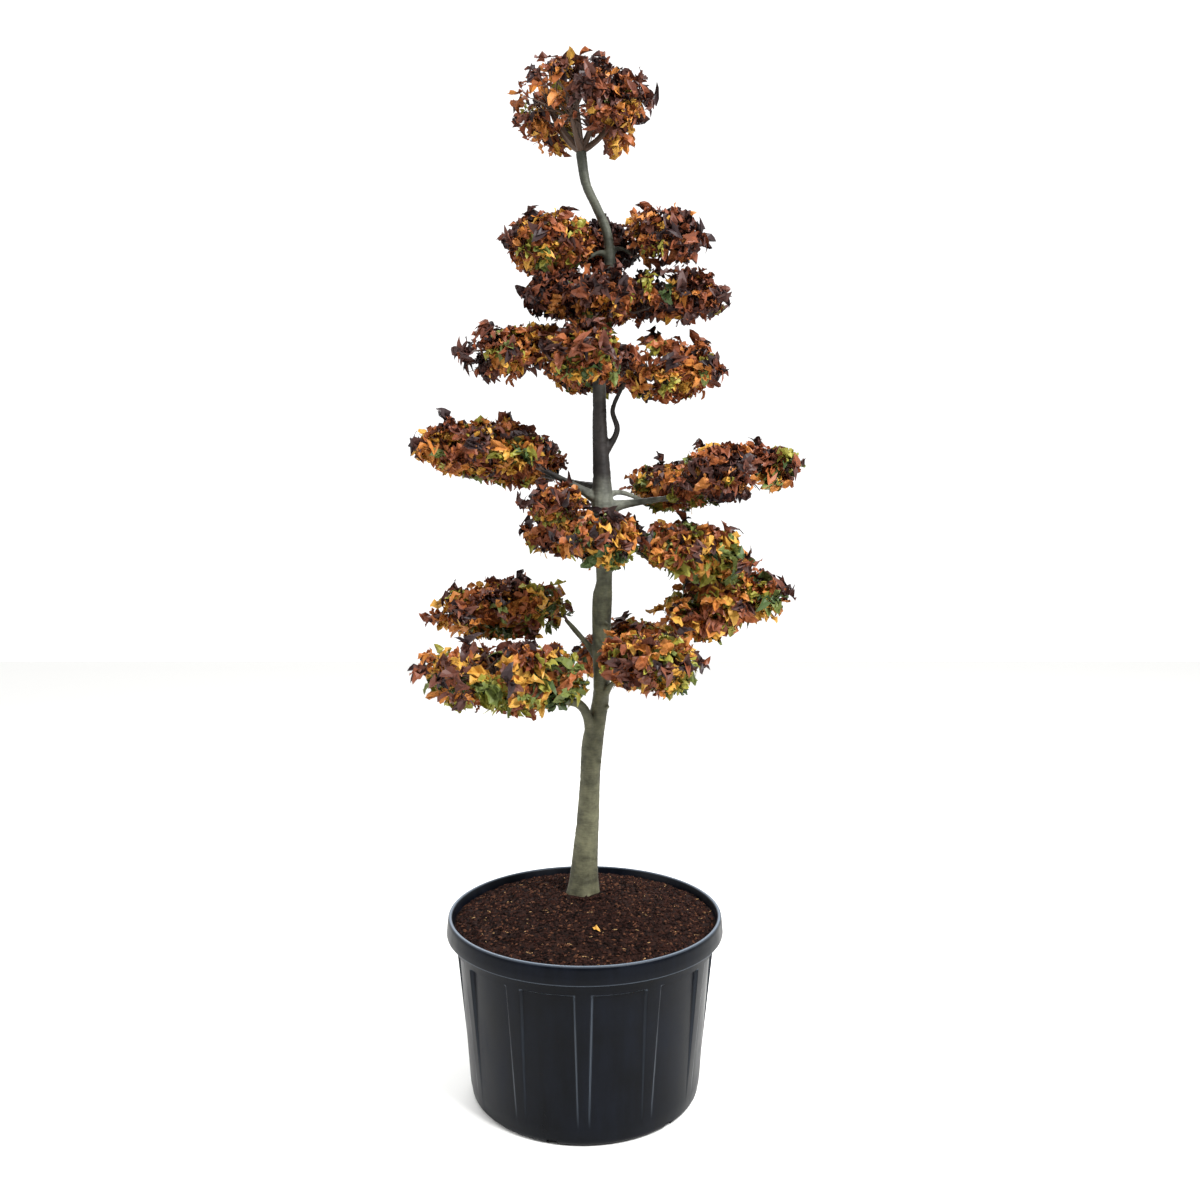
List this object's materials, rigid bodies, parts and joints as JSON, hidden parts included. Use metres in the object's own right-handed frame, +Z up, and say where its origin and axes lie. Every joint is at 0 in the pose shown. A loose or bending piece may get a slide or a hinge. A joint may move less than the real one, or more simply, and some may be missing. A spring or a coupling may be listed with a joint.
{
  "type": "potted european beech",
  "caption": "Young beech tree pruned into tiers of leafy pads round a bare stem, in autumn colour, standing in a round plastic growing pot.",
  "frame": {"origin": "middle of the pot's flat underside", "axes": "+Z up the trunk; the front of the plant, as in the picture, faces -Y; +X to the right"},
  "size_m": [0.874, 0.692, 2.3682],
  "materials": {
    "pot": "satin",
    "soil": "rough",
    "bark": "matte",
    "foliage": "matte"
  },
  "bodies": {
    "root": {"bough_tier1_back": "bark", "bough_tier1_back_left": "bark", "bough_tier1_front_left": "bark", "bough_tier1_front_right": "bark", "bough_tier1_right": "bark", "bough_tier2_back": "bark", "bough_tier2_front": "bark", "bough_tier2_right": "bark", "bough_tier3_back_left": "bark", "bough_tier3_back_right": "bark", "bough_tier3_left": "bark", "bough_tier3_left_inner": "bark", "bough_tier3_right": "bark", "bough_tier4_back": "bark", "bough_tier4_front": "bark", "bough_tier4_left": "bark", "bough_tier4_right": "bark", "bough_tier5_back": "bark", "bough_tier5_front": "bark", "bough_tier5_left": "bark", "bough_tier5_right": "bark", "bough_tier6_back": "bark", "bough_tier6_left": "bark", "bough_tier6_right": "bark", "foliage_head": "foliage", "foliage_tier1_back": "foliage", "foliage_tier1_back_left": "foliage", "foliage_tier1_front_left": "foliage", "foliage_tier1_front_right": "foliage", "foliage_tier1_right": "foliage", "foliage_tier2_back": "foliage", "foliage_tier2_front": "foliage", "foliage_tier2_right": "foliage", "foliage_tier3_back_left": "foliage", "foliage_tier3_back_right": "foliage", "foliage_tier3_left": "foliage", "foliage_tier3_left_inner": "foliage", "foliage_tier3_right": "foliage", "foliage_tier4_back": "foliage", "foliage_tier4_front": "foliage", "foliage_tier4_left": "foliage", "foliage_tier4_right": "foliage", "foliage_tier5_back": "foliage", "foliage_tier5_front": "foliage", "foliage_tier5_left": "foliage", "foliage_tier5_right": "foliage", "foliage_tier6_back": "foliage", "foliage_tier6_left": "foliage", "foliage_tier6_right": "foliage", "pot": "pot", "soil": "soil", "trunk": "bark"}
  },
  "joints": []
}
